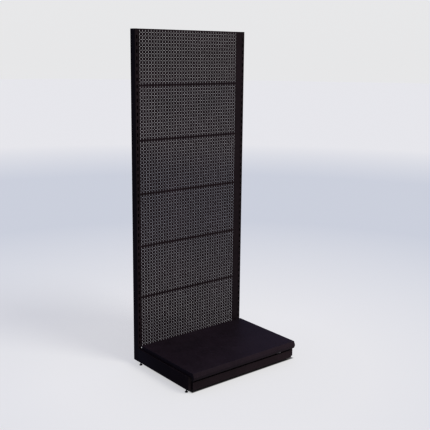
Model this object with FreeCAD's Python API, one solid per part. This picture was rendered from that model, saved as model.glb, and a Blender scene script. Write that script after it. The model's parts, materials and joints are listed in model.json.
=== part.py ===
"""Single-sided gondola shelving unit: two slotted uprights, six perforated back panels, and a base
shelf on two levelling legs, closed at the front by a pull-off kick plate.

Millimetres, +Z up, +X to the unit's right seen from the front, the front faces -Y.
The origin lies on the floor, under the centre of the unit's bounding box.
"""
import FreeCAD, Part
import math
import os

from FreeCAD import Vector

# ---- overall ----
MODULE = 1000.0  # between the centre lines of the two uprights
TOP = 2540.0
FRAME_BOTTOM = 28.0  # underside of uprights and legs, above the floor

# ---- uprights ----
UPRIGHT_WIDTH = 30.0
UPRIGHT_DEPTH = 60.0
UPRIGHT_WALL = 2.0
UPRIGHT_CORNER = 2.0
CAP_HEAD = 3.0
CAP_PLUG = 22.0
SLOT_WIDTH = 10.0
SLOT_LENGTH = 28.0
SLOT_PITCH = 50.0
SLOT_COUNT = 49
LOWEST_SLOT = 83.0

# ---- back panels ----
PANEL_COUNT = 6
PANEL_PITCH = 400.0
PANEL_BOTTOM = TOP - PANEL_COUNT * PANEL_PITCH
PANEL_GAP = 0.4  # between two panels
PANEL_SIDE_GAP = 1.0  # between a panel and each upright
PANEL_SHEET = 0.6
PANEL_DEPTH = 14.0
HOLE_PITCH = 25.0
HOLE_COLUMNS = 37  # upright slots in each row
HOLE_ROWS = int(PANEL_PITCH / HOLE_PITCH)
HOLE_LENGTH = 16.5
UPRIGHT_HOLE_WIDTH = 2.2
FLAT_HOLE_WIDTH = 1.7
SOLID_BAND = 8.0  # along a panel's lower and upper edges, left without holes
FIELD_MARGIN = 9.0  # panel's left edge to the first column

# ---- clips that carry the panels ----
CLIP_SHEET = 1.5
CLIP_REACH = 18.0
CLIP_HEIGHT = 28.0
CLIP_SHELF_TOP = 0.1  # above the middle of the gap between two panels
CLIP_SHELF_ROOM = 0.5
RIVET_RADIUS = 1.6

# ---- base legs, measured forward from the uprights' front faces ----
LEG_REACH = 645.0
LEG_TOP = 132.0
LEG_WALL = 2.0
LEG_CORNER = 2.0
HOOK_PLATE = 4.0
REAR_FOOT = 14.0
FRONT_FOOT = 602.0

# ---- base deck ----
DECK_WIDTH = 1000.0
DECK_TOP = 163.0
DECK_SHEET = 1.2
DECK_BACK = 28.0
DECK_FRONT = 676.0
LIP_NOSE = (689.0, 134.0)  # reach and height of the lip's foremost fold
LIP_HEEL = (679.0, 108.0)
LIP_RETURN = 667.0
LIP_HEM = 6.0
STIFFENER_PLACES = {"front": 560.0, "middle": 350.0, "rear": 130.0}
STIFFENER_WIDTH = 36.0
STIFFENER_HEIGHT = 20.0
STIFFENER_FLANGE = 12.0

# ---- kick plate ----
KICK_WIDTH = 975.0
KICK_FACE = 660.0
KICK_BACK = 646.0
KICK_BOTTOM = 26.0
KICK_TOP = 87.0
KICK_SHEET = 1.0
KICK_TAB_HEIGHT = 70.0
KICK_TAB_SHEET = 1.5
KICK_JAW_CLEARANCE = 0.35

# ---- rear cross bar ----
BAR_BOTTOM = 60.0
BAR_HEIGHT = 40.0
BAR_DEPTH = 20.0
BAR_WALL = 1.5
BAR_PLATE = 3.0

# ---- levelling feet, M8 ----
THREAD_RADIUS = 4.0
THREAD_CLEARANCE = 0.05
PAD_RADIUS = 12.0
PAD_HEIGHT = 8.0
PIVOT_RADIUS = 2.5
STUD_TOP = 50.0
NUT_FLATS = 13.0
LOCK_NUT_HEIGHT = 5.0
WELD_NUT_HEIGHT = 6.5

# ---- worked out ----
TOTAL_DEPTH = UPRIGHT_DEPTH + LIP_NOSE[0]
FRONT = TOTAL_DEPTH / 2 - UPRIGHT_DEPTH  # Y of the uprights' front faces
INNER = (MODULE - UPRIGHT_WIDTH) / 2  # X of the uprights' inner faces
UPRIGHT_X = MODULE / 2
PANEL_EDGE = INNER - PANEL_SIDE_GAP
SIDES = {"left": -1, "right": 1}


def box(x0, x1, y0, y1, z0, z1):
    """A box between two corners, in any order along X."""
    low, high = min(x0, x1), max(x0, x1)
    return Part.makeBox(high - low, y1 - y0, z1 - z0, Vector(low, y0, z0))


def rod(radius, start, direction, length):
    return Part.makeCylinder(radius, length, Vector(*start), Vector(*direction))


def hexagon(flats, x, y, z, height):
    """A hexagonal prism standing on z."""
    radius = flats / math.sqrt(3)
    turns = [math.radians(60 * i) for i in range(7)]
    corners = [Vector(x + radius * math.cos(a), y + radius * math.sin(a), z) for a in turns]
    return Part.Face(Part.makePolygon(corners)).extrude(Vector(0, 0, height))


def hexagon_along_x(flats, x, y, z, height):
    """A hexagonal prism lying along X, from x to x + height."""
    prism = hexagon(flats, 0, 0, 0, abs(height))
    prism.rotate(Vector(0, 0, 0), Vector(0, 1, 0), 90)
    prism.translate(Vector(min(x, x + height), y, z))
    return prism


def rounded_prism(x0, x1, z0, z1, corner, y0, y1):
    """A prism along Y whose section is a rectangle with rounded corners."""
    solid = box(x0, x1, y0, y1, z0, z1)
    along = [e for e in solid.Edges if abs(e.BoundBox.YLength - (y1 - y0)) < 1e-6]
    return solid.makeFillet(corner, along)


def rounded_post(x0, x1, y0, y1, corner, z0, z1):
    """The same, standing along Z."""
    solid = box(x0, x1, y0, y1, z0, z1)
    along = [e for e in solid.Edges if abs(e.BoundBox.ZLength - (z1 - z0)) < 1e-6]
    return solid.makeFillet(corner, along)


def plate_yz(points, x0, x1):
    """A flat plate between two X planes, with an outline given as (y, z) points."""
    corners = [Vector(x0, y, z) for y, z in points]
    face = Part.Face(Part.makePolygon(corners + corners[:1]))
    return face.extrude(Vector(x1 - x0, 0, 0))


def folded_sheet(points, thickness, x0, x1):
    """Bent sheet: its outer face follows the (y, z) points, its material lies on their right."""
    normals = []
    for (ya, za), (yb, zb) in zip(points, points[1:]):
        run = math.hypot(yb - ya, zb - za)
        normals.append(((zb - za) / run, -(yb - ya) / run))
    inner = []
    for i, (y, z) in enumerate(points):
        before = normals[max(i - 1, 0)]
        after = normals[min(i, len(normals) - 1)]
        across = 1 + before[0] * after[0] + before[1] * after[1]
        mitre = [thickness * (before[k] + after[k]) / across for k in (0, 1)]
        inner.append((y + mitre[0], z + mitre[1]))
    return plate_yz(points + inner[::-1], x0, x1)


def joined(shapes):
    return shapes[0].fuse(shapes[1:]).removeSplitter()


def save(name, shapes):
    """Writes one node: a single solid, or several separate ones."""
    shape = shapes if isinstance(shapes, Part.Shape) else Part.makeCompound(shapes)
    shape.exportStep("parts/" + name + ".step")


# ---- uprights ----


def bracket_slot(x, z):
    """The cutter for one slot with round ends through an upright's front wall."""
    half = (SLOT_LENGTH - SLOT_WIDTH) / 2
    depth = UPRIGHT_WALL + 2
    radius = SLOT_WIDTH / 2
    middle = box(x - radius, x + radius, FRONT - 1, FRONT - 1 + depth, z - half, z + half)
    ends = [rod(radius, (x, FRONT - 1, z + s * half), (0, 1, 0), depth) for s in (-1, 1)]
    return joined([middle] + ends)


def upright(side):
    x = side * UPRIGHT_X
    half = UPRIGHT_WIDTH / 2
    wall = UPRIGHT_WALL
    back = FRONT + UPRIGHT_DEPTH
    post = rounded_post(x - half, x + half, FRONT, back, UPRIGHT_CORNER, FRAME_BOTTOM, TOP - CAP_HEAD)
    hollow = box(x - half + wall, x + half - wall, FRONT + wall, back - wall, 0, TOP)
    slots = [bracket_slot(x, LOWEST_SLOT + i * SLOT_PITCH) for i in range(SLOT_COUNT)]
    inward = (-side, 0, 0)
    face = x - side * (half - wall - 1)
    rivets = [rod(RIVET_RADIUS + 0.05, (face, y, z), inward, wall + 2) for y, z in rivet_places()]
    screws = [rod(3.05, (face, y, z), inward, wall + 2) for y, z in bar_screw_places()]
    return post.cut([hollow] + slots + rivets + screws)


def upright_cap(side):
    """A push-in plastic cap: a thin head, and a hollow plug inside the tube."""
    x = side * UPRIGHT_X
    half = UPRIGHT_WIDTH / 2
    back = FRONT + UPRIGHT_DEPTH
    head = rounded_post(x - half, x + half, FRONT, back, UPRIGHT_CORNER, TOP - CAP_HEAD, TOP)
    rim = [e for e in head.Edges if abs(e.BoundBox.ZMin - TOP) < 1e-6]
    head = head.makeFillet(0.8, rim)
    inset = UPRIGHT_WALL + 0.2
    plug_wall = 2.0
    foot = TOP - CAP_HEAD - CAP_PLUG
    plug = box(x - half + inset, x + half - inset, FRONT + inset, back - inset, foot, TOP - CAP_HEAD)
    inset += plug_wall
    core = box(x - half + inset, x + half - inset, FRONT + inset, back - inset, foot, TOP - CAP_HEAD)
    return joined([head, plug.cut(core)])


# ---- back panels ----


def slot_wire(x, z, width, height):
    """A rectangular hole's outline on the panel's front face, wound against the face's edge."""
    x0, x1 = x - width / 2, x + width / 2
    z0, z1 = z - height / 2, z + height / 2
    corners = [Vector(x, FRONT, z) for x, z in ((x0, z1), (x1, z1), (x1, z0), (x0, z0))]
    return Part.makePolygon(corners + corners[:1])


def upright_hole_ends(row):
    """The lower and upper end of a row's upright slots, kept clear of the panel's bent edges."""
    middle = (row + 0.5) * HOLE_PITCH
    low = max(middle - HOLE_LENGTH / 2, SOLID_BAND)
    high = min(middle + HOLE_LENGTH / 2, PANEL_PITCH - SOLID_BAND)
    return low, high


def perforated_strip(z0, z1, row):
    """One row of the punched sheet: upright slots, and above them a row of flat slots between."""
    x0, x1 = -PANEL_EDGE, PANEL_EDGE
    corners = [Vector(x, FRONT, z) for x, z in ((x0, z0), (x1, z0), (x1, z1), (x0, z1))]
    wires = [Part.makePolygon(corners + corners[:1])]
    first = x0 + FIELD_MARGIN
    low, high = upright_hole_ends(row)
    for column in range(HOLE_COLUMNS):
        x = first + column * HOLE_PITCH
        wires.append(slot_wire(x, (low + high) / 2, UPRIGHT_HOLE_WIDTH, high - low))
        between = x + HOLE_PITCH / 2
        if row < HOLE_ROWS - 1 and column < HOLE_COLUMNS - 1:
            wires.append(slot_wire(between, (row + 1) * HOLE_PITCH, HOLE_LENGTH, FLAT_HOLE_WIDTH))
    return Part.Face(wires).extrude(Vector(0, PANEL_SHEET, 0))


def punched_sheet():
    """The lowest panel's front sheet, about a joint at height 0, sewn from its rows."""
    low, high = PANEL_GAP / 2, PANEL_PITCH - PANEL_GAP / 2
    above_slots = (FLAT_HOLE_WIDTH + HOLE_PITCH / 2 - HOLE_LENGTH / 2) / 2
    inside = [row * HOLE_PITCH + above_slots for row in range(1, HOLE_ROWS)]
    borders = [low] + inside + [high]
    faces = []
    for row in range(HOLE_ROWS):
        strip = perforated_strip(borders[row], borders[row + 1], row)
        for face in strip.Faces:
            extent = face.BoundBox
            level = extent.ZLength < 1e-6 and extent.XLength > HOLE_LENGTH * 2
            if level and any(abs(extent.ZMin - z) < 1e-6 for z in inside):
                continue
            faces.append(face)
    shell = Part.makeShell(faces)
    shell.sewShape()
    return Part.makeSolid(shell)


def back_panel():
    """A shallow tray: the punched sheet with its four edges bent back, notched over the lower clips."""
    low, high = PANEL_GAP / 2, PANEL_PITCH - PANEL_GAP / 2
    back = FRONT + PANEL_DEPTH
    sheet = PANEL_SHEET
    x = PANEL_EDGE
    flanges = [
        box(-x, x, FRONT, back, low, low + sheet),
        box(-x, x, FRONT, back, high - sheet, high),
        box(-x, -x + sheet, FRONT, back, low, high),
        box(x - sheet, x, FRONT, back, low, high),
    ]
    shelf = CLIP_SHEET - CLIP_SHELF_TOP - PANEL_GAP / 2 + CLIP_SHELF_ROOM
    notch = INNER - CLIP_REACH - CLIP_SHELF_ROOM
    notches = [
        box(side * notch, side * INNER, FRONT + 2, back + 1, high - shelf, high + 1)
        for side in SIDES.values()
    ]
    return punched_sheet().fuse(flanges).cut(notches)


# ---- panel clips ----


def joint_heights():
    """The heights of the gaps that the clips reach into, one under each panel."""
    return [PANEL_BOTTOM + i * PANEL_PITCH for i in range(PANEL_COUNT)]


def rivet_places():
    return [(FRONT + 29, z + 8) for z in joint_heights()]


def panel_clip(side, z):
    """A leaf on the upright's inner face, and a shelf that reaches into the gap between two panels."""
    wall = side * INNER
    low, high = z - CLIP_HEIGHT / 2, z + CLIP_HEIGHT / 2
    leaf = box(wall, wall - side * CLIP_SHEET, FRONT + 17, FRONT + 38, low, high)
    top = z + CLIP_SHELF_TOP
    shelf = box(wall, wall - side * CLIP_REACH, FRONT + 3, FRONT + 38, top - CLIP_SHEET, top)
    hole = rod(RIVET_RADIUS + 0.05, (wall + side, FRONT + 29, z + 8), (-side, 0, 0), CLIP_SHEET + 2)
    return joined([leaf, shelf]).cut(hole)


def rivet(side, y, z):
    """A blind rivet: a low head on the clip and a swelled tail inside the upright."""
    wall = side * INNER
    head = rod(3.2, (wall - side * CLIP_SHEET, y, z), (-side, 0, 0), 1.2)
    length = CLIP_SHEET + 1 + UPRIGHT_WALL
    shank = rod(RIVET_RADIUS, (wall - side * (CLIP_SHEET + 1), y, z), (side, 0, 0), length)
    tail = rod(2.4, (wall + side * UPRIGHT_WALL, y, z), (side, 0, 0), 3.0)
    return joined([head, shank, tail])


# ---- base legs ----


def foot_places():
    """(name, side, x, y) of the four levelling feet."""
    reach = {"rear": REAR_FOOT, "front": FRONT_FOOT}
    return [
        (end + "_" + side, SIDES[side], SIDES[side] * UPRIGHT_X, FRONT - reach[end])
        for end in reach
        for side in SIDES
    ]


def base_leg(side):
    """A flat box tube lying forward from the upright, closed at the front, open at the hook end."""
    x = side * UPRIGHT_X
    half = UPRIGHT_WIDTH / 2
    wall = LEG_WALL
    rear = FRONT - 0.5
    nose = FRONT - LEG_REACH
    tube = rounded_prism(x - half, x + half, FRAME_BOTTOM, LEG_TOP, LEG_CORNER, nose, rear)
    low, high = FRAME_BOTTOM + wall, LEG_TOP - wall
    hollow = box(x - half + wall, x + half - wall, nose + wall, FRONT, low, high)
    holes = [
        rod(THREAD_RADIUS + 0.4, (fx, fy, FRAME_BOTTOM - 1), (0, 0, 1), wall + 2)
        for _, fside, fx, fy in foot_places()
        if fside == side
    ]
    return tube.cut([hollow] + holes)


def hook_bracket(side):
    """The plate welded inside the leg, whose two hooks drop into the upright's lowest slots."""
    x = side * UPRIGHT_X
    behind = UPRIGHT_WALL + 0.4
    tip = behind + 5.6
    sill = 0.6  # above the slot's lower end, where its round end is wide enough for the plate
    low = LOWEST_SLOT - SLOT_LENGTH / 2 + sill
    high = low + SLOT_PITCH
    floor, ceiling = 64.0, 128.0
    outline = [
        (-60, floor),
        (-1, floor),
        (-1, low),
        (behind, low),
        (behind, low - 9),
        (tip, low - 9),
        (tip, low + 15),
        (-1, low + 15),
        (-1, high),
        (behind, high),
        (behind, high - 9),
        (tip, high - 9),
        (tip, ceiling),
        (-60, ceiling),
    ]
    points = [(FRONT + y, z) for y, z in outline]
    plate = plate_yz(points, x - HOOK_PLATE / 2, x + HOOK_PLATE / 2)
    inside = UPRIGHT_WIDTH / 2 - LEG_WALL
    ribs = [
        box(x - inside, x + inside, FRONT - 58, FRONT - 10, z, z + HOOK_PLATE)
        for z in (floor, ceiling - HOOK_PLATE)
    ]
    return joined([plate] + ribs)


# ---- base deck ----


def deck_outline():
    """The deck's outer face from its rear lower edge, over the top and round the lip, as (y, z)."""
    reaches = [
        (DECK_BACK, LEG_TOP),
        (DECK_BACK, DECK_TOP),
        (DECK_FRONT, DECK_TOP),
        LIP_NOSE,
        LIP_HEEL,
        (LIP_RETURN, LIP_HEEL[1]),
    ]
    return [(FRONT - reach, z) for reach, z in reaches]


def base_deck():
    """The shelf sheet with its rear flange and lip, and a plate closing each end."""
    outline = deck_outline()
    half = DECK_WIDTH / 2
    hem = (FRONT - LIP_RETURN, LIP_HEEL[1] + LIP_HEM)
    sheet = folded_sheet([(y, z) for y, z in reversed(outline + [hem])], DECK_SHEET, -half, half)
    end = outline + [(FRONT - LIP_RETURN, LEG_TOP)]
    ends = [
        plate_yz(end, side * half, side * (half - DECK_SHEET))
        for side in SIDES.values()
    ]
    return joined([sheet] + ends)


def stiffener(reach):
    """A top-hat channel across the deck's underside, welded by its two flanges."""
    ceiling = DECK_TOP - DECK_SHEET
    floor = ceiling - STIFFENER_HEIGHT
    half = STIFFENER_WIDTH / 2
    flange = half + STIFFENER_FLANGE
    y = FRONT - reach
    outline = [
        (y - flange, ceiling - DECK_SHEET),
        (y - half, ceiling - DECK_SHEET),
        (y - half + 3, floor),
        (y + half - 3, floor),
        (y + half, ceiling - DECK_SHEET),
        (y + flange, ceiling - DECK_SHEET),
    ]
    end = DECK_WIDTH / 2 - DECK_SHEET - 1.5
    return folded_sheet(outline[::-1], DECK_SHEET, -end, end)


# ---- kick plate ----


def kick_plate():
    """A shallow tray, its face forward, with all four edges bent back."""
    half = KICK_WIDTH / 2
    sheet = KICK_SHEET
    face = FRONT - KICK_FACE
    back = FRONT - KICK_BACK
    return joined(
        [
            box(-half, half, face, face + sheet, KICK_BOTTOM, KICK_TOP),
            box(-half, half, face, back, KICK_TOP - sheet, KICK_TOP),
            box(-half, half, face, back, KICK_BOTTOM, KICK_BOTTOM + sheet),
            box(-half, -half + sheet, face, back, KICK_BOTTOM, KICK_TOP),
            box(half - sheet, half, face, back, KICK_BOTTOM, KICK_TOP),
        ]
    )


def kick_tab(side):
    """An angle welded behind the kick plate; its tongue pushes into the clip."""
    x0, x1 = side * (INNER - 21), side * (INNER - 5)
    behind = FRONT - KICK_FACE + KICK_SHEET
    half = KICK_TAB_SHEET / 2
    z = KICK_TAB_HEIGHT
    tongue = box(x0, x1, behind, behind + 14, z - half, z + half)
    foot = box(x0, x1, behind, behind + KICK_TAB_SHEET, z - half, z + 12)
    return joined([tongue, foot])


def kick_clip(side):
    """A clip on the leg's inner face, whose two jaws open forward for the kick plate's tongue."""
    wall = side * INNER
    sheet = 1.2
    root = FRONT - LEG_REACH + 1
    z = KICK_TAB_HEIGHT
    gap = KICK_TAB_SHEET / 2 + KICK_JAW_CLEARANCE
    leaf = box(wall, wall - side * sheet, root, root + 30, z - 12, z + 12)
    back = box(wall, wall - side * 23, root, root + sheet, z - 12, z + 12)
    jaws = [
        box(wall - side * 3, wall - side * 23, root - 8, root + sheet, z + gap, z + gap + sheet),
        box(wall - side * 3, wall - side * 23, root - 8, root + sheet, z - gap - sheet, z - gap),
    ]
    return joined([leaf, back] + jaws)


# ---- rear cross bar ----


def bar_screw_places():
    return [(FRONT + UPRIGHT_DEPTH / 2, z) for z in (BAR_BOTTOM - 7, BAR_BOTTOM + BAR_HEIGHT + 7)]


def cross_bar():
    """A box tube between the uprights, behind the base."""
    end = INNER - BAR_PLATE
    y = FRONT + (UPRIGHT_DEPTH - BAR_DEPTH) / 2
    wall = BAR_WALL
    outer = box(-end, end, y, y + BAR_DEPTH, BAR_BOTTOM, BAR_BOTTOM + BAR_HEIGHT)
    along = [e for e in outer.Edges if e.BoundBox.XLength > MODULE / 2]
    outer = outer.makeFillet(2.0, along)
    top = BAR_BOTTOM + BAR_HEIGHT - wall
    return outer.cut(box(-end, end, y + wall, y + BAR_DEPTH - wall, BAR_BOTTOM + wall, top))


def bar_plate(side):
    """The cross bar's end plate, screwed to the upright's inner face."""
    wall = side * INNER
    y = FRONT + UPRIGHT_DEPTH / 2
    low, high = BAR_BOTTOM - 14, BAR_BOTTOM + BAR_HEIGHT + 14
    plate = box(wall, wall - side * BAR_PLATE, y - 18, y + 18, low, high)
    start = wall + side
    holes = [rod(3.3, (start, sy, sz), (-side, 0, 0), BAR_PLATE + 2) for sy, sz in bar_screw_places()]
    return plate.cut(holes)


def bar_screw(side, y, z):
    """An M6 hexagon screw through the end plate into the upright's wall."""
    seat = side * (INNER - BAR_PLATE)
    head = hexagon_along_x(10.0, seat, y, z, -side * 4.0)
    shank = rod(3.0, (seat - side, y, z), (side, 0, 0), 1 + BAR_PLATE + UPRIGHT_WALL + 4)
    return joined([head, shank])


# ---- levelling feet ----


def foot_pad(x, y):
    """A flared round pad with a blind socket for the stud's pivot."""
    outline = [
        Vector(0, 0, 0),
        Vector(PAD_RADIUS - 1, 0, 0),
        Vector(PAD_RADIUS, 0, 1),
        Vector(PAD_RADIUS, 0, 2.5),
        Vector(6.5, 0, 6),
        Vector(6.5, 0, PAD_HEIGHT),
        Vector(0, 0, PAD_HEIGHT),
    ]
    section = Part.Face(Part.makePolygon(outline + outline[:1]))
    pad = section.revolve(Vector(0, 0, 0), Vector(0, 0, 1), 360)
    pad = Part.Solid(pad) if pad.ShapeType == "Shell" else pad
    pad.translate(Vector(x, y, 0))
    socket = rod(PIVOT_RADIUS + THREAD_CLEARANCE, (x, y, 3.5), (0, 0, 1), PAD_HEIGHT)
    return pad.cut(socket)


def foot_stud(x, y):
    """The M8 stud: a pivot in the pad, a hexagon for the spanner, and the threaded stem."""
    shoulder = PAD_HEIGHT + 0.2
    pivot = rod(PIVOT_RADIUS, (x, y, 3.8), (0, 0, 1), shoulder - 2.8)
    spanner = hexagon(10.0, x, y, shoulder, 5.0)
    stem = rod(THREAD_RADIUS, (x, y, shoulder + 4), (0, 0, 1), STUD_TOP - shoulder - 4)
    tip = [e for e in stem.Edges if abs(e.BoundBox.ZMin - STUD_TOP) < 1e-6]
    return joined([pivot, spanner, stem.makeChamfer(0.8, tip)])


def nut(x, y, z, height):
    bore = rod(THREAD_RADIUS + THREAD_CLEARANCE, (x, y, z - 1), (0, 0, 1), height + 2)
    return hexagon(NUT_FLATS, x, y, z, height).cut(bore)


def build():
    os.makedirs("parts", exist_ok=True)
    for name, side in SIDES.items():
        save("upright_" + name, upright(side))
        save("upright_cap_" + name, upright_cap(side))
        save("panel_clips_" + name, [panel_clip(side, z) for z in joint_heights()])
        save("base_leg_" + name, base_leg(side))
        save("leg_hook_bracket_" + name, hook_bracket(side))
        save("kick_clip_" + name, kick_clip(side))
        save("cross_bar_plate_" + name, bar_plate(side))
    panel = back_panel()
    for i, z in enumerate(joint_heights()):
        save("back_panel_" + str(i + 1), panel.translated(Vector(0, 0, z)))
    both = list(SIDES.values())
    save("panel_clip_rivets", [rivet(side, y, z) for side in both for y, z in rivet_places()])
    save("cross_bar", cross_bar())
    save("cross_bar_screws", [bar_screw(side, y, z) for side in both for y, z in bar_screw_places()])
    save("base_deck", base_deck())
    for place, reach in STIFFENER_PLACES.items():
        save("deck_stiffener_" + place, stiffener(reach))
    save("kick_plate", kick_plate())
    save("kick_plate_tabs", [kick_tab(side) for side in both])
    feet = foot_places()
    for name, _, x, y in feet:
        save("foot_pad_" + name, foot_pad(x, y))
        save("foot_stud_" + name, foot_stud(x, y))
    lock_z = FRAME_BOTTOM - LOCK_NUT_HEIGHT
    save("foot_lock_nuts", [nut(x, y, lock_z, LOCK_NUT_HEIGHT) for _, _, x, y in feet])
    weld_z = FRAME_BOTTOM + LEG_WALL
    save("foot_weld_nuts", [nut(x, y, weld_z, WELD_NUT_HEIGHT) for _, _, x, y in feet])


build()
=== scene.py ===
"""The looks of a single-sided gondola shelving unit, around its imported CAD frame.

Metres, +Z up, the unit's front faces -Y. Paint, plastic and plating are node materials; the folded
sheets, threads, nuts, rivets and welds are meshes worked out from the CAD nodes they stand for or sit on.
"""

import json
import math

import bmesh
import bpy
from mathutils import Matrix, Vector

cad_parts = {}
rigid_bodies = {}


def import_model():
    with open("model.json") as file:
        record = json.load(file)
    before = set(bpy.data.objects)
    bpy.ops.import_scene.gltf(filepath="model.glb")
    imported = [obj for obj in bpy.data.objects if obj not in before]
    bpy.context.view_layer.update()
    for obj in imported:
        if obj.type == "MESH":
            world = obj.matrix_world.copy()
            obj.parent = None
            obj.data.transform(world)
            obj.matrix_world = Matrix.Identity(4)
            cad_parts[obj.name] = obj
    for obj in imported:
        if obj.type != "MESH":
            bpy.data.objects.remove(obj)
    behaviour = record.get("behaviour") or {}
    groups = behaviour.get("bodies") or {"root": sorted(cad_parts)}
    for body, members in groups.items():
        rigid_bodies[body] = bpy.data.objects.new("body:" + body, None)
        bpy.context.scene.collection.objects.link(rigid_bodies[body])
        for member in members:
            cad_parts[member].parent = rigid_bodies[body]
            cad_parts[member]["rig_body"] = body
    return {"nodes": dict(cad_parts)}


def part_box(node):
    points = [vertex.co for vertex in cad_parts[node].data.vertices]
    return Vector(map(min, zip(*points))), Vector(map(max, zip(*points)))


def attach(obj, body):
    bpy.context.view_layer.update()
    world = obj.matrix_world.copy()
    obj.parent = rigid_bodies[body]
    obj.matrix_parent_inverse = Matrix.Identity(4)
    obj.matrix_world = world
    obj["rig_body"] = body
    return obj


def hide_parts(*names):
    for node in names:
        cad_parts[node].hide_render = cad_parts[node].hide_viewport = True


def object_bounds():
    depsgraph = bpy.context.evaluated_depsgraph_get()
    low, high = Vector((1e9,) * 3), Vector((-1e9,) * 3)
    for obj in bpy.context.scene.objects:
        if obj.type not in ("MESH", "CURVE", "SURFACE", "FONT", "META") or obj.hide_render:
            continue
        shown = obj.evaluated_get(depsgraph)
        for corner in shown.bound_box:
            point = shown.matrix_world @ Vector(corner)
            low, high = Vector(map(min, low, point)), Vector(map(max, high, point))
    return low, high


MM = 0.001
FEET = [end + "_" + side for end in ("rear", "front") for side in ("left", "right")]

# ---- bends of the formed steel, millimetres: outer radius, inner radius, rounding of a cut edge ----
FORMED = {
    "base_deck": (2.2, 1.0, 0.15),
    "kick_plate": (1.6, 0.7, 0.12),
    "deck_stiffener_front": (2.2, 1.0, 0.12),
    "deck_stiffener_middle": (2.2, 1.0, 0.12),
    "deck_stiffener_rear": (2.2, 1.0, 0.12),
    "kick_plate_tabs": (0.6, 0.6, 0.2),
    "kick_clip_left": (0.6, 0.5, 0.15),
    "kick_clip_right": (0.6, 0.5, 0.15),
    "panel_clips_left": (0.6, 0.6, 0.2),
    "panel_clips_right": (0.6, 0.6, 0.2),
    "cross_bar_plate_left": (0.4, 0.4, 0.4),
    "cross_bar_plate_right": (0.4, 0.4, 0.4),
    "base_leg_left": (0.6, 0.2, 0.2),
    "base_leg_right": (0.6, 0.2, 0.2),
}
BEND_SEGMENTS = 4
MERGE = 0.002  # corners nearer than this are one
THIN = 2.0  # a face narrower than this is the cut edge of a sheet
SHORT = 26.0  # an edge shorter than this is trimmed, not folded
FOLD = 25.0  # degrees; a smaller turn between two faces is part of a round already

# ---- fasteners, millimetres ----
STUD = {"radius": 4.0, "pitch": 1.25, "flats": 10.0, "collar": 5.0, "pivot": 2.5, "clearance": 0.2}
NUT = {"flats": 13.0, "bore": 4.05, "lead": 0.5}
SCREW = {"radius": 3.0, "pitch": 1.0, "flats": 10.0, "head": 4.0}
RIVET = {"head": 3.2, "dome": 1.2, "shank": 1.6, "tail": 2.4, "tail_length": 3.0}
CHAMFER_START = 0.475  # of a hexagon's width across flats, from its axis
THREAD_DEPTH = 0.61  # of the pitch
COLUMNS = 48
ROWS_PER_PITCH = 8

# ---- camera: to the front left, a little below the height of the unit's top ----
CAMERA_PLACE = (-3.447, -4.215, 2.380)
CAMERA_YAW = 39.09  # degrees clockwise from +Y
CAMERA_PITCH = 11.45  # below the horizon
CAMERA_ROLL = 0.62
CAMERA_LENS = 61.9
CAMERA_SHIFT = -0.03

# ---- light ----
KEY_ELEVATION = 46.0
KEY_AZIMUTH = 22.0  # to the right of the unit's front
KEY_ANGLE = 24.0
KEY_STRENGTH = 2.2
KEY_COLOUR = (1.0, 0.975, 0.955)
FILL_ELEVATION = 8.0  # of the middle of the broad soft fill
SEEN_LOW, SEEN_HIGH = (0.845, 0.845, 0.853, 1), (0.865, 0.867, 0.876, 1)  # the surround, seen directly
CAST_DIM, CAST_LIT = (0.18, 0.20, 0.32, 1), (0.75, 0.72, 0.74, 1)  # the light it casts, behind and in front
CAST_ABOVE = (0.52, 0.54, 1.00, 1)
CAST_BOUNCE = (1.30, 1.18, 1.22, 1)  # from below in front
DISPLAY_GAMMA = 0.75

# ---- studio floor ----
FLOOR_REACH = 60.0
FLOOR_PALE, FLOOR_COOL = (0.22, 0.22, 0.20, 1), (0.175, 0.18, 0.175, 1)
GLOW_PALE, GLOW_COOL = (0.635, 0.635, 0.64, 1), (0.515, 0.535, 0.575, 1)
# Painted shadow: the floor under the unit gets this glow, none, so that it reads as shade.
PAINTED_SHADOW_GLOW = (0.0, 0.0, 0.0, 1)
PAINTED_SHADOW_PAST_RIGHT_LEG = 1.05  # how far the painted shadow, the floor without glow, reaches past the right leg, as a share of the leg's distance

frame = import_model()
nodes = frame["nodes"]
cad_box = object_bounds()


# ---- shader trees ----


def shade(tree, kind, sockets=(), **settings):
    """A new node with its settings, and its inputs set to values or linked to other nodes' outputs."""
    made = tree.nodes.new("ShaderNode" + kind)
    for name, value in settings.items():
        setattr(made, name, value)
    for name, value in dict(sockets).items():
        if isinstance(value, bpy.types.NodeSocket):
            tree.links.new(value, made.inputs[name])
        else:
            made.inputs[name].default_value = value
    return made


def new_material(name):
    """A material with an empty tree, its tree, and its object coordinates."""
    material = bpy.data.materials.new(name)
    material.use_nodes = True
    tree = material.node_tree
    tree.nodes.clear()
    place = shade(tree, "TexCoord").outputs["Object"]
    return material, tree, place


def noise(tree, place, scale, detail=3.0, roughness=0.5, stretch=None):
    """Noise with cells of 1/scale metres, drawn out along an axis if stretch says so."""
    if stretch:
        place = shade(tree, "Mapping", {"Vector": place, "Scale": stretch}).outputs["Vector"]
    sockets = {"Vector": place, "Scale": scale, "Detail": detail, "Roughness": roughness}
    return shade(tree, "TexNoise", sockets).outputs["Fac"]


def ramp(tree, value, low, high, start=0.0, end=1.0):
    """The value's stretch from low to high, spread over start to end and held there."""
    sockets = {"Value": value, "From Min": low, "From Max": high, "To Min": start, "To Max": end}
    return shade(tree, "MapRange", sockets).outputs["Result"]


def maths(tree, operation, a, b=0.0):
    return shade(tree, "Math", {0: a, 1: b}, operation=operation).outputs[0]


def blend_colour(tree, share, a, b):
    """Colour a where share is 0, and b where it is 1."""
    made = shade(tree, "Mix", data_type="RGBA")
    for socket, value in ((0, share), (6, a), (7, b)):
        if isinstance(value, bpy.types.NodeSocket):
            tree.links.new(value, made.inputs[socket])
        else:
            made.inputs[socket].default_value = value
    return made.outputs[2]


def grey(level, tint=(1.0, 1.0, 1.0)):
    return (level * tint[0], level * tint[1], level * tint[2], 1.0)


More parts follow.
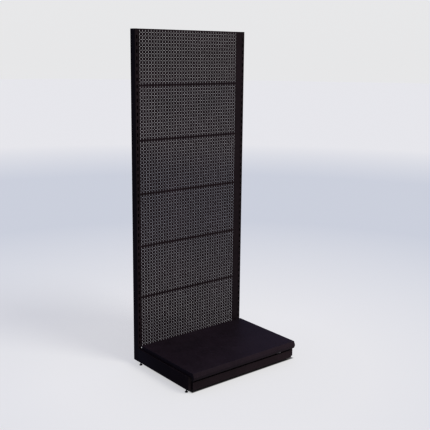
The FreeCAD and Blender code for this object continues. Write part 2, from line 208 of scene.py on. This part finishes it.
def worn_edges(tree, place, radius, amount):
    """1 along the edges where the coat has rubbed thin, broken up by noise."""
    rounded = shade(tree, "Bevel", {"Radius": radius}, samples=4).outputs["Normal"]
    flat = shade(tree, "NewGeometry").outputs["Normal"]
    sockets = {0: rounded, 1: flat}
    facing = shade(tree, "VectorMath", sockets, operation="DOT_PRODUCT").outputs["Value"]
    edge = ramp(tree, facing, 0.985, 0.90)
    broken = ramp(tree, noise(tree, place, 95.0, 6.0, 0.7), 0.66 - amount, 0.76 - amount)
    return maths(tree, "MULTIPLY", edge, broken)


def finish_material(material, tree, sockets):
    """Wires a principled shader with these inputs to the output, and returns the material."""
    shader = shade(tree, "BsdfPrincipled", sockets)
    out = shade(tree, "OutputMaterial")
    tree.links.new(shader.outputs[0], out.inputs["Surface"])
    return material


def powder_coat(name, level, tint, roughness, wear=0.1, scuffs=0.3, shop_dust=0.25, bend=1.1):
    """Black powder paint on steel: orange peel, uneven gloss, scuffs, edge wear and a film of dust."""
    material, tree, place = new_material(name)
    patches = noise(tree, place, 3.1, 4.0, 0.6)
    mottle = noise(tree, place, 41.0, 4.0, 0.6)
    peel = noise(tree, place, 620.0, 2.0, 0.5)
    pits = noise(tree, place, 2300.0, 1.0, 0.5)

    along = noise(tree, place, 55.0, 5.0, 0.75, (1.0, 7.0, 30.0))
    across = noise(tree, place, 48.0, 5.0, 0.75, (26.0, 3.0, 1.2))
    streaks = maths(tree, "MAXIMUM", ramp(tree, along, 0.66, 0.74), ramp(tree, across, 0.68, 0.76))
    where = ramp(tree, noise(tree, place, 5.3, 3.0, 0.6), 0.50, 0.66)
    scratch = maths(tree, "MULTIPLY", maths(tree, "MULTIPLY", streaks, where), scuffs)

    upward = shade(tree, "SeparateXYZ", {0: shade(tree, "NewGeometry").outputs["Normal"]}).outputs["Z"]
    settled = ramp(tree, upward, 0.6, 1.0, 0.15, 1.0)
    cloud = ramp(tree, noise(tree, place, 9.0, 7.0, 0.68), 0.35, 0.75)
    dust = maths(tree, "MULTIPLY", maths(tree, "MULTIPLY", settled, cloud), shop_dust)
    edge = worn_edges(tree, place, bend * MM, wear)

    dark, light, fleck = (grey(level * share, tint) for share in (0.72, 1.3, 1.7))
    scored = grey(level * 7.0, (1.0, 0.96, 0.94))
    film = grey(0.10, (1.0, 0.96, 0.98))
    steel = grey(0.085, (1.0, 0.98, 0.96))
    colour = blend_colour(tree, ramp(tree, patches, 0.3, 0.7), dark, light)
    colour = blend_colour(tree, ramp(tree, mottle, 0.45, 0.75, 0.0, 0.4), colour, fleck)
    colour = blend_colour(tree, scratch, colour, scored)
    colour = blend_colour(tree, maths(tree, "MULTIPLY", dust, 0.16), colour, film)
    colour = blend_colour(tree, maths(tree, "MULTIPLY", edge, 0.8), colour, steel)

    gloss = ramp(tree, mottle, 0.25, 0.75, roughness - 0.05, roughness + 0.07)
    gloss = maths(tree, "ADD", gloss, maths(tree, "MULTIPLY", scratch, 0.16))
    gloss = maths(tree, "ADD", gloss, maths(tree, "MULTIPLY", dust, 0.22))
    gloss = maths(tree, "SUBTRACT", gloss, maths(tree, "MULTIPLY", edge, 0.12))

    bump = shade(tree, "Bump", {"Strength": 0.35, "Distance": 0.05 * MM, "Height": peel})
    sockets = {"Strength": 0.2, "Distance": 0.015 * MM, "Height": pits, "Normal": bump.outputs[0]}
    bump = shade(tree, "Bump", sockets)
    sockets = {"Base Color": colour, "Roughness": gloss, "Normal": bump.outputs[0]}
    return finish_material(material, tree, sockets | {"Specular IOR Level": 0.12})


def moulded_plastic(name, level, roughness, grain):
    """Black moulded plastic with a spark-eroded grain, dull where it has been handled."""
    material, tree, place = new_material(name)
    cells = shade(tree, "TexVoronoi", {"Vector": place, "Scale": grain}, feature="SMOOTH_F1")
    flow = noise(tree, place, 60.0, 4.0, 0.6, (1.0, 1.0, 0.3))
    rubbed = ramp(tree, noise(tree, place, 130.0, 5.0, 0.7), 0.5, 0.75)
    edge = worn_edges(tree, place, 0.6 * MM, 0.08)
    colour = blend_colour(tree, ramp(tree, flow, 0.3, 0.7), grey(level * 0.75), grey(level * 1.35))
    dull = grey(level * 2.4, (1.0, 0.98, 0.95))
    colour = blend_colour(tree, maths(tree, "MULTIPLY", rubbed, 0.3), colour, dull)
    colour = blend_colour(tree, maths(tree, "MULTIPLY", edge, 0.6), colour, grey(0.05))
    gloss = ramp(tree, rubbed, 0.0, 1.0, roughness, roughness + 0.14)
    bump = shade(tree, "Bump", {"Strength": 0.3, "Distance": 0.04 * MM, "Height": cells.outputs["Distance"]})
    sockets = {"Base Color": colour, "Roughness": gloss, "Normal": bump.outputs[0]}
    return finish_material(material, tree, sockets | {"Specular IOR Level": 0.2})


def zinc_plate(name):
    """Dark zinc plating: a spangled, faintly blue and straw passivate with drawn marks and dull spots."""
    material, tree, place = new_material(name)
    film = noise(tree, place, 140.0, 4.0, 0.6)
    spangle = shade(tree, "TexVoronoi", {"Vector": place, "Scale": 900.0}).outputs["Distance"]
    drawn = noise(tree, place, 700.0, 3.0, 0.6, (1.0, 1.0, 0.08))
    spots = ramp(tree, noise(tree, place, 260.0, 6.0, 0.75), 0.60, 0.72)
    blue, straw = (0.085, 0.092, 0.110, 1), (0.125, 0.118, 0.098, 1)
    crystal, dull = (0.060, 0.062, 0.068, 1), (0.035, 0.032, 0.028, 1)
    colour = blend_colour(tree, ramp(tree, film, 0.35, 0.65), blue, straw)
    colour = blend_colour(tree, ramp(tree, spangle, 0.2, 0.6, 0.0, 0.4), colour, crystal)
    colour = blend_colour(tree, maths(tree, "MULTIPLY", spots, 0.7), colour, dull)
    gloss = maths(tree, "ADD", ramp(tree, drawn, 0.3, 0.7, 0.26, 0.40), maths(tree, "MULTIPLY", spots, 0.3))
    bump = shade(tree, "Bump", {"Strength": 0.25, "Distance": 0.02 * MM, "Height": drawn})
    sockets = {"Base Color": colour, "Metallic": 1.0, "Roughness": gloss, "Normal": bump.outputs[0]}
    return finish_material(material, tree, sockets)


def painted_shadow_beneath_unit(tree, place):
    """The mask of the painted shadow under the unit: 0 on the floor under it, from inside the left leg to
    just past the right one, and 1 around it.
    """
    low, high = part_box("base_leg_left")
    half = (high.y - low.y) / 2
    middle = (low.y + high.y) / 2
    split = shade(tree, "SeparateXYZ", {0: place})
    left = maths(tree, "DIVIDE", split.outputs["X"], high.x)
    right = maths(tree, "DIVIDE", split.outputs["X"], -low.x * PAINTED_SHADOW_PAST_RIGHT_LEG)
    along = maths(tree, "ABSOLUTE", maths(tree, "SUBTRACT", split.outputs["Y"], middle))
    across = maths(tree, "MAXIMUM", left, right)
    return ramp(tree, maths(tree, "MAXIMUM", across, maths(tree, "DIVIDE", along, half)), 0.97, 1.0)


def stage_floor_material():
    """A pale, faintly glowing studio floor that takes a cool tone a few metres out, with a painted shadow
    under the unit where it does not glow.
    """
    material, tree, place = new_material("studio_floor")
    away = shade(tree, "VectorMath", {0: place}, operation="LENGTH").outputs["Value"]
    near = ramp(tree, away, 1.2, 5.0)
    far = ramp(tree, away, 14.0, 9.0)
    cool = maths(tree, "MULTIPLY", near, far)
    colour = blend_colour(tree, cool, FLOOR_PALE, FLOOR_COOL)
    glow = blend_colour(tree, cool, GLOW_PALE, GLOW_COOL)
    # painted shadow: no glow on the floor under the unit
    glow = blend_colour(tree, painted_shadow_beneath_unit(tree, place), PAINTED_SHADOW_GLOW, glow)
    sockets = {"Base Color": colour, "Roughness": 0.85, "Specular IOR Level": 0.0}
    return finish_material(material, tree, sockets | {"Emission Color": glow, "Emission Strength": 1.0})


# ---- camera, light and floor ----


def make_camera():
    yaw, pitch, roll = (math.radians(v) for v in (CAMERA_YAW, CAMERA_PITCH, CAMERA_ROLL))
    ahead = Vector((math.sin(yaw) * math.cos(pitch), math.cos(yaw) * math.cos(pitch), -math.sin(pitch)))
    right = Vector((math.cos(yaw), -math.sin(yaw), 0.0))
    up = right.cross(ahead)
    turned = right * math.cos(roll) + up * math.sin(roll)
    up = up * math.cos(roll) - right * math.sin(roll)
    data = bpy.data.cameras.new("camera")
    data.lens = CAMERA_LENS
    data.sensor_width = 36.0
    data.shift_y = CAMERA_SHIFT
    camera = bpy.data.objects.new("camera", data)
    axes = Matrix((turned, up, -ahead)).transposed()
    camera.matrix_world = Matrix.Translation(CAMERA_PLACE) @ axes.to_4x4()
    bpy.context.scene.collection.objects.link(camera)
    bpy.context.scene.camera = camera


def towards_light(degrees_up):
    """The direction from the unit towards the lit side, at an elevation."""
    elevation, azimuth = math.radians(degrees_up), math.radians(KEY_AZIMUTH)
    level = math.cos(elevation)
    return Vector((level * math.sin(azimuth), -level * math.cos(azimuth), math.sin(elevation)))


def make_light():
    data = bpy.data.lights.new("key", "SUN")
    data.energy = KEY_STRENGTH
    data.angle = math.radians(KEY_ANGLE)
    data.color = KEY_COLOUR
    key = bpy.data.objects.new("key", data)
    key.rotation_mode = "QUATERNION"
    key.rotation_quaternion = towards_light(KEY_ELEVATION).to_track_quat("Z", "Y")
    bpy.context.scene.collection.objects.link(key)


def make_world():
    """A pale surround, which casts a broad soft light from the key's side and a dim cool one elsewhere."""
    world = bpy.data.worlds.new("studio")
    world.use_nodes = True
    tree = world.node_tree
    tree.nodes.clear()
    direction = shade(tree, "TexCoord").outputs["Generated"]
    rise = shade(tree, "SeparateXYZ", {0: direction}).outputs["Z"]
    seen = blend_colour(tree, ramp(tree, rise, 0.0, 0.3), SEEN_LOW, SEEN_HIGH)
    sockets = {0: direction, 1: towards_light(FILL_ELEVATION)}
    facing = shade(tree, "VectorMath", sockets, operation="DOT_PRODUCT").outputs["Value"]
    cast = blend_colour(tree, ramp(tree, facing, -0.3, 1.0), CAST_DIM, CAST_LIT)
    cast = blend_colour(tree, ramp(tree, rise, 0.1, 0.9, 0.0, 0.6), cast, CAST_ABOVE)
    bounce = maths(tree, "MULTIPLY", ramp(tree, rise, 0.0, -0.5, 0.0, 0.5), ramp(tree, facing, 0.2, 0.8))
    cast = blend_colour(tree, bounce, cast, CAST_BOUNCE)
    straight = shade(tree, "LightPath").outputs["Is Camera Ray"]
    both = shade(tree, "Background", {"Color": blend_colour(tree, straight, cast, seen)})
    out = shade(tree, "OutputWorld")
    tree.links.new(both.outputs[0], out.inputs["Surface"])
    bpy.context.scene.world = world


def make_floor():
    """A wide round floor at the feet's soles, which neither tints the unit nor shows in its gloss."""
    mesh = bpy.data.meshes.new("floor")
    made = bmesh.new()
    bmesh.ops.create_circle(made, cap_ends=True, segments=64, radius=FLOOR_REACH)
    made.to_mesh(mesh)
    made.free()
    floor = bpy.data.objects.new("floor", mesh)
    floor.location.z = cad_box[0].z
    mesh.materials.append(stage_floor_material())
    bpy.context.scene.collection.objects.link(floor)
    floor.visible_diffuse = False
    floor.visible_glossy = False


# ---- finishes of the CAD nodes ----

PAINT_TINT = (1.40, 0.86, 1.02)
# The deck's paint is set lighter and bluer than the frame's: painted light, standing for the cool light from
# above on its top.
DECK_TINT_WITH_PAINTED_LIGHT = (1.38, 0.86, 1.12)
finishes = {
    "frame_paint": powder_coat("frame_powder", 0.0135, PAINT_TINT, 0.50, wear=0.12, scuffs=0.25),
    "panel_paint": powder_coat("panel_powder", 0.0135, PAINT_TINT, 0.52, wear=0.04, scuffs=0.15),
    # deck: a lighter level and a bluer tint than the frame, painted light from above on the same black paint
    "deck_paint": powder_coat(
        "deck_powder_with_painted_light", 0.0160, DECK_TINT_WITH_PAINTED_LIGHT, 0.50, wear=0.12, scuffs=0.6, shop_dust=0.4, bend=3.0
    ),
    "kick_paint": powder_coat("kick_powder", 0.0150, PAINT_TINT, 0.52, wear=0.14, scuffs=0.8, bend=2.5),
    "cap_plastic": moulded_plastic("cap_moulded", 0.008, 0.45, 1500.0),
    "foot_plastic": moulded_plastic("foot_moulded", 0.009, 0.5, 1100.0),
    "zinc_steel": zinc_plate("zinc_plated"),
}


def dress(piece, slot):
    """Gives every material slot of a piece the finish of one of the record's slots."""
    if not piece.data.materials:
        piece.data.materials.append(finishes[slot])
    for entry in piece.material_slots:
        entry.material = finishes[slot]


slot_of = {}
for name, piece in nodes.items():
    slot_of[name] = piece.material_slots[0].material.name.split(".")[0]
    dress(piece, slot_of[name])

# ---- formed steel ----


def weigh_edges(made, radii):
    """Gives each edge of a bend or a cut its share of the largest radius, as a bevel weight."""
    outer, inner, cut = radii
    largest = max(radii)
    weight = made.edges.layers.float.new("bevel_weight_edge")
    width = {f: 2 * f.calc_area() / sum(e.calc_length() for e in f.edges) / MM for f in made.faces}
    for edge in made.edges:
        turn = math.degrees(edge.calc_face_angle_signed(0.0))
        if abs(turn) < FOLD:
            continue
        trimmed = min(width[f] for f in edge.link_faces) < THIN or edge.calc_length() < SHORT * MM
        radius = inner if turn < 0 else cut if trimmed else outer
        edge[weight] = radius / largest


def round_edges(piece, name, method, radius, segments):
    """A bevel modifier that shades its rounds as one surface with the faces beside them."""
    bevel = piece.modifiers.new(name, "BEVEL")
    bevel.limit_method = method
    bevel.width = radius * MM
    bevel.segments = segments
    bevel.harden_normals = True
    return bevel


def formed(name, radii):
    """A copy with rounded bends and edges, which stands for a sharp-edged CAD node of formed steel."""
    node = nodes[name]
    made = bmesh.new()
    made.from_mesh(node.data)
    bmesh.ops.remove_doubles(made, verts=made.verts, dist=MERGE * MM)
    bmesh.ops.dissolve_limit(made, angle_limit=math.radians(1.0), verts=made.verts, edges=made.edges)
    weigh_edges(made, radii)
    piece = add_piece(name + "_formed", made, node["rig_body"], slot_of[name], name)
    round_edges(piece, "bends", "WEIGHT", max(radii), BEND_SEGMENTS)


# ---- turned and threaded parts ----


def hexagon_radius(flats, angle):
    """The distance to a hexagon's side, with a corner at angle 0."""
    turn = math.radians(60)
    return flats / 2 / math.cos(angle % turn - turn / 2)


def round_ring(radius, height):
    return lambda angle: (radius, height)


def chamfered_ring(flats, height, upward):
    """A hexagon's outline where a 30 degree cone cuts its corners off, below or above a face."""
    def ring(angle):
        radius = hexagon_radius(flats, angle)
        beyond = max(radius - flats * CHAMFER_START, 0.0) * math.tan(math.radians(30))
        return radius, height + beyond * upward
    return ring


def thread_ring(radius, pitch, height, depth):
    """One level of a right-hand thread with flat crests and roots."""
    def ring(angle):
        phase = (height / pitch - angle / math.tau) % 1.0
        from_crest = min(phase, 1.0 - phase)
        return radius - depth * min(max((from_crest - 0.07) / 0.30, 0.0), 1.0), height
    return ring


def thread(radius, pitch, low, high):
    """A thread's levels between two heights, running out at both ends."""
    full = THREAD_DEPTH * pitch
    count = round((high - low) / pitch * ROWS_PER_PITCH)
    rings = []
    for i in range(count + 1):
        height = low + (high - low) * i / count
        near_end = min(height - low, high - height) / pitch
        rings.append(thread_ring(radius, pitch, height, full * min(near_end, 1.0)))
    return rings


def join_rows(made, pairs):
    """Adds a band of faces between the two rows of points in each pair."""
    for low, high in pairs:
        for i in range(len(low)):
            j = (i + 1) % len(low)
            made.faces.new((low[i], low[j], high[j], high[i]))


def skin(made, rings, place, closed=False, columns=COLUMNS):
    """Adds a skin over rings, which are functions from an angle to a radius and a height in millimetres."""
    rows = []
    for ring in rings:
        row = []
        for i in range(columns):
            angle = math.tau * i / columns
            radius, height = ring(angle)
            point = Vector((radius * math.cos(angle), radius * math.sin(angle), height))
            row.append(made.verts.new(place @ (point * MM)))
        rows.append(row)
    join_rows(made, zip(rows, rows[1:]))
    if closed:
        join_rows(made, [(rows[-1], rows[0])])
    else:
        made.faces.new(rows[0][::-1])
        made.faces.new(rows[-1])


def islands(name):
    """(lowest corner, highest corner) of each separate solid in a CAD node."""
    made = bmesh.new()
    made.from_mesh(nodes[name].data)
    bmesh.ops.remove_doubles(made, verts=made.verts, dist=MERGE * MM)
    unvisited = set(made.verts)
    boxes = []
    while unvisited:
        group, pending = set(), [unvisited.pop()]
        while pending:
            vert = pending.pop()
            group.add(vert)
            near = {e.other_vert(vert) for e in vert.link_edges} & unvisited
            unvisited -= near
            pending.extend(near)
        corners = [[pick(v.co[k] for v in group) for k in range(3)] for pick in (min, max)]
        boxes.append((Vector(corners[0]), Vector(corners[1])))
    made.free()
    return sorted(boxes, key=lambda box: tuple(box[0]))


def upright_place(point):
    """An upright axis through a point, from the floor up."""
    return Matrix.Translation((point.x, point.y, 0.0))


def sideways_place(low, high):
    """An axis from a fastener's end in the upright to its head on the inner side."""
    middle = (low + high) / 2
    side = math.copysign(1.0, middle.x)
    axes = Matrix(((0.0, 0.0, 1.0), (0.0, side, 0.0), (-side, 0.0, 0.0))).transposed()
    start = Vector((high.x if side > 0 else low.x, middle.y, middle.z))
    return Matrix.Translation(start) @ axes.to_4x4()


def add_piece(name, made, body, slot, *stands_for):
    """Makes an object of a finished bmesh that rides a body and wears a slot's finish."""
    bmesh.ops.recalc_face_normals(made, faces=made.faces)
    mesh = bpy.data.meshes.new(name)
    made.to_mesh(mesh)
    made.free()
    mesh.shade_smooth()
    piece = bpy.data.objects.new(name, mesh)
    bpy.context.scene.collection.objects.link(piece)
    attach(piece, body)
    if stands_for:
        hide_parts(*stands_for)
    dress(piece, slot)
    return piece


def sharpen(piece, degrees):
    """Smooth shading, but not across edges that turn by more."""
    piece.data.set_sharp_from_angle(angle=math.radians(degrees))


def stud(foot):
    """The levelling stud: a pivot in the pad, a collar for the spanner, and an M8 thread."""
    node = "foot_stud_" + foot
    low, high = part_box(node)
    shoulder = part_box("foot_pad_" + foot)[1].z / MM + STUD["clearance"]
    bottom, top = low.z / MM, high.z / MM
    pivot, flats, radius = STUD["pivot"], STUD["flats"], STUD["radius"]
    head = shoulder + STUD["collar"]
    root = radius - THREAD_DEPTH * STUD["pitch"]
    rings = [
        round_ring(pivot - 0.9, bottom),
        round_ring(pivot - 0.25, bottom + 0.3),
        round_ring(pivot, bottom + 0.9),
        round_ring(pivot, shoulder),
        round_ring(flats * CHAMFER_START, shoulder),
        chamfered_ring(flats, shoulder, 1.0),
        chamfered_ring(flats, head, -1.0),
        round_ring(flats * CHAMFER_START, head),
        round_ring(radius, head),
    ]
    rings += thread(radius, STUD["pitch"], head + 0.3, top - 0.8)
    rings.append(round_ring(root, top))
    made = bmesh.new()
    skin(made, rings, upright_place((low + high) / 2))
    sharpen(add_piece(node + "_threaded", made, "stud_" + foot, slot_of[node], node), 35)


def nuts(node):
    """Hexagon nuts with chamfered corners and a lead into the bore, in place of a node's plain ones."""
    made = bmesh.new()
    flats, bore, lead = NUT["flats"], NUT["bore"], NUT["lead"]
    for low, high in islands(node):
        bottom, top = low.z / MM, high.z / MM
        rings = [
            round_ring(bore + lead, bottom),
            round_ring(flats * CHAMFER_START, bottom),
            chamfered_ring(flats, bottom, 1.0),
            chamfered_ring(flats, top, -1.0),
            round_ring(flats * CHAMFER_START, top),
            round_ring(bore + lead, top),
            round_ring(bore, top - lead),
            round_ring(bore, bottom + lead),
        ]
        skin(made, rings, upright_place((low + high) / 2), closed=True)
    sharpen(add_piece(node + "_chamfered", made, "frame", slot_of[node], node), 35)


def pad(foot):
    """The foot's flared pad: a hollowed sole, a rounded rim and a lipped socket for the pivot."""
    node = "foot_pad_" + foot
    low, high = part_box(node)
    rim, top = (high.x - low.x) / 2 / MM, high.z / MM
    neck, socket = rim - 5.5, STUD["pivot"] + 0.05
    profile = [
        (rim - 4.0, 0.9), (rim - 3.2, 0.0), (rim - 1.0, 0.0), (rim, 1.0), (rim, 2.5),
        (neck + 1.2, 5.4), (neck, 6.3), (neck, top), (socket + 0.5, top), (socket, top - 0.5),
        (socket, 3.5),
    ]
    made = bmesh.new()
    skin(made, [round_ring(*point) for point in profile], upright_place((low + high) / 2))
    piece = add_piece(node + "_moulded", made, "pad_" + foot, slot_of[node], node)
    bevel = round_edges(piece, "rounds", "ANGLE", 0.3, 3)
    bevel.angle_limit = math.radians(20)


def screws():
    """M6 hexagon screws with a washer face, chamfered corners and a thread."""
    node = "cross_bar_screws"
    made = bmesh.new()
    flats, radius, pitch = SCREW["flats"], SCREW["radius"], SCREW["pitch"]
    for low, high in islands(node):
        length = (high.x - low.x) / MM
        seat = length - SCREW["head"]
        rings = [round_ring(radius - THREAD_DEPTH * pitch, 0.0)]
        rings += thread(radius, pitch, 0.6, seat - 0.5)
        rings += [
            round_ring(radius, seat),
            round_ring(flats * CHAMFER_START, seat),
            round_ring(flats * CHAMFER_START, seat + 0.3),
            chamfered_ring(flats, seat + 0.3, 1.0),
            chamfered_ring(flats, length, -1.0),
            round_ring(flats * CHAMFER_START, length),
        ]
        skin(made, rings, sideways_place(low, high))
    sharpen(add_piece(node + "_threaded", made, "frame", slot_of[node], node), 35)


def rivets():
    """Blind rivets: a swelled tail inside the upright, and a domed head with the mandrel's pit."""
    node = "panel_clip_rivets"
    made = bmesh.new()
    head, dome, shank, tail = (RIVET[k] for k in ("head", "dome", "shank", "tail"))
    for low, high in islands(node):
        length = (high.x - low.x) / MM
        seat = length - dome
        swell = [(tail * math.sin(a), 1.5 - 1.5 * math.cos(a)) for a in (0.5, 1.0, math.pi / 2, 2.2)]
        curve = [(head * math.cos(a), seat + dome * math.sin(a)) for a in (0.0, 0.3, 0.6, 0.9, 1.15)]
        pit = [(1.0, length - 0.08), (0.85, length - 0.5)]
        neck = [(shank, RIVET["tail_length"]), (shank, seat)]
        rings = [round_ring(*point) for point in swell + neck + curve + pit]
        skin(made, rings, sideways_place(low, high), columns=24)
    sharpen(add_piece(node + "_domed", made, "frame", slot_of[node], node), 40)


# ---- welds ----

BEAD = 1.5  # radius of a weld bead, millimetres
BEAD_COLUMNS = 10
BEAD_STANDOFF = 0.3  # of the bead's middle from the corner it fills
BAR_CORNER = 2.0
RIPPLE = 2.2  # between two ripples of a bead
RIPPLE_STEPS = 5
SPOT_STEP = 80.0  # between two spot welds
SPOT_INSET = 6.0  # from a flange's edge
SPOT_RADIUS = 3.0
DECK_SHEET = 1.2  # the deck and its stiffeners are bent from it


def loop_point(along, width, height, corner):
    """A point, and the outward direction there, on a rounded rectangle's outline about its middle."""
    arc = corner * math.pi / 2
    at = Vector((-width / 2 + corner, -height / 2))
    heading = 0.0
    for run in (width - 2 * corner, height - 2 * corner) * 2:
        forward = Vector((math.cos(heading), math.sin(heading)))
        outward = Vector((forward.y, -forward.x))
        if along <= run:
            return at + forward * along, outward
        along -= run
        at = at + forward * run
        centre = at - outward * corner
        if along <= arc:
            turned = math.atan2(outward.y, outward.x) + along / corner
            direction = Vector((math.cos(turned), math.sin(turned)))
            return centre + direction * corner, direction
        along -= arc
        heading += math.pi / 2
        at = centre + forward * corner
    return at, Vector((0.0, -1.0))


def bar_weld(side):
    """The rippled fillet weld round one end of the cross bar, on its end plate."""
    low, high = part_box("cross_bar")
    width, height, corner = (high.y - low.y) / MM, (high.z - low.z) / MM, BAR_CORNER
    end = (high.x if side == "right" else low.x) / MM
    inward = -1 if side == "right" else 1
    middle = (low + high) / 2 / MM
    around = 2 * (width + height) - 8 * corner + math.tau * corner
    count = round(around / RIPPLE) * RIPPLE_STEPS
    rows = []
    made = bmesh.new()
    for i in range(count):
        point, outward = loop_point(around * i / count, width, height, corner)
        radius = BEAD * (0.93 + 0.07 * math.cos(math.tau * i / RIPPLE_STEPS))
        row = []
        for k in range(BEAD_COLUMNS):
            turn = math.tau * k / BEAD_COLUMNS
            flat = point + outward * (math.cos(turn) * radius + BEAD_STANDOFF)
            x = end + inward * (math.sin(turn) * radius + BEAD_STANDOFF)
            row.append(made.verts.new(Vector((x, middle.y + flat.x, middle.z + flat.y)) * MM))
        rows.append(row)
    join_rows(made, zip(rows, rows[1:] + rows[:1]))
    add_piece("cross_bar_weld_" + side, made, "frame", "frame_paint")


def spot_welds():
    """Shallow spot-weld buttons along both flanges of every deck stiffener, on their undersides."""
    button = [(0.35, 0.1), (0.6, 0.28), (0.85, 0.2), (1.0, -0.2)]
    made = bmesh.new()
    for place in ("front", "middle", "rear"):
        low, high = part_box("deck_stiffener_" + place)
        under = high.z / MM - DECK_SHEET
        count = int((high.x - low.x) / MM / SPOT_STEP)
        rings = [round_ring(SPOT_RADIUS * share, under - depth) for share, depth in button]
        for y in (low.y + SPOT_INSET * MM, high.y - SPOT_INSET * MM):
            for i in range(count):
                x = (i - (count - 1) / 2) * SPOT_STEP * MM
                skin(made, rings, Matrix.Translation((x, y, 0.0)), columns=20)
    add_piece("deck_spot_welds", made, "deck", "deck_paint")


for name, radii in FORMED.items():
    formed(name, radii)
for foot in FEET:
    stud(foot)
    pad(foot)
for node in ("foot_lock_nuts", "foot_weld_nuts"):
    nuts(node)
screws()
rivets()
for side in ("left", "right"):
    bar_weld(side)
spot_welds()

make_camera()
make_light()
make_world()
make_floor()
bpy.context.scene.view_settings.view_transform = "Standard"
bpy.context.scene.view_settings.gamma = DISPLAY_GAMMA
